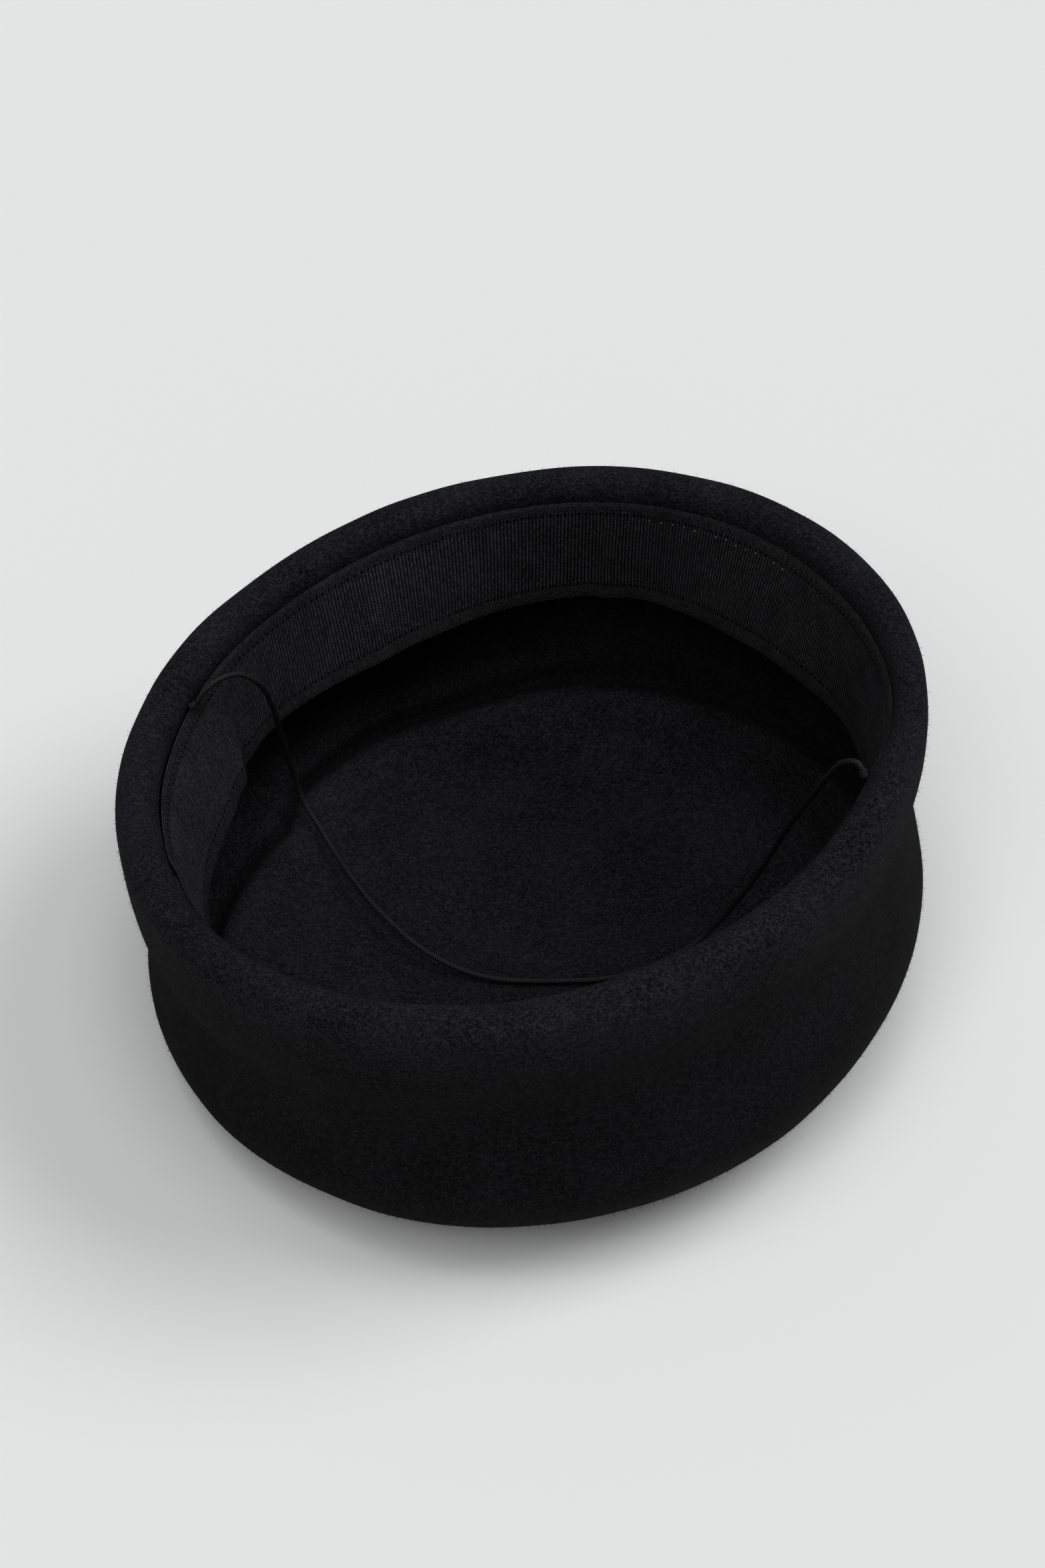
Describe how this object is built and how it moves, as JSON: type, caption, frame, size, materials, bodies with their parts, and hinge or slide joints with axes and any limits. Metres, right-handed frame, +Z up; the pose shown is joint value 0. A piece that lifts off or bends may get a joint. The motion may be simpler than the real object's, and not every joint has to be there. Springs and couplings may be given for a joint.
{
  "type": "pillbox hat",
  "caption": "Round moulded felt pillbox hat with a rounded turned-in hem, an inner ribbon sweatband and a thin elastic, lying crown down.",
  "frame": {"origin": "on the surface that the hat lies on, under the middle of its outer box", "axes": "+Z up out of the open side, with the crown's tip down; +Y to the back of the hat, along the longer side of its oval; +X to the right side, where the wall is higher"},
  "size_m": [0.1867, 0.198, 0.0982],
  "materials": {
    "felt": "black wool felt with a short dull nap",
    "ribbon": "black ribbed ribbon with a woven edge on both sides",
    "elastic": "black braided round elastic"
  },
  "bodies": {
    "root": {"felt_crown": "felt", "sweatband": "ribbon", "elastic_cord": "elastic"}
  },
  "joints": []
}
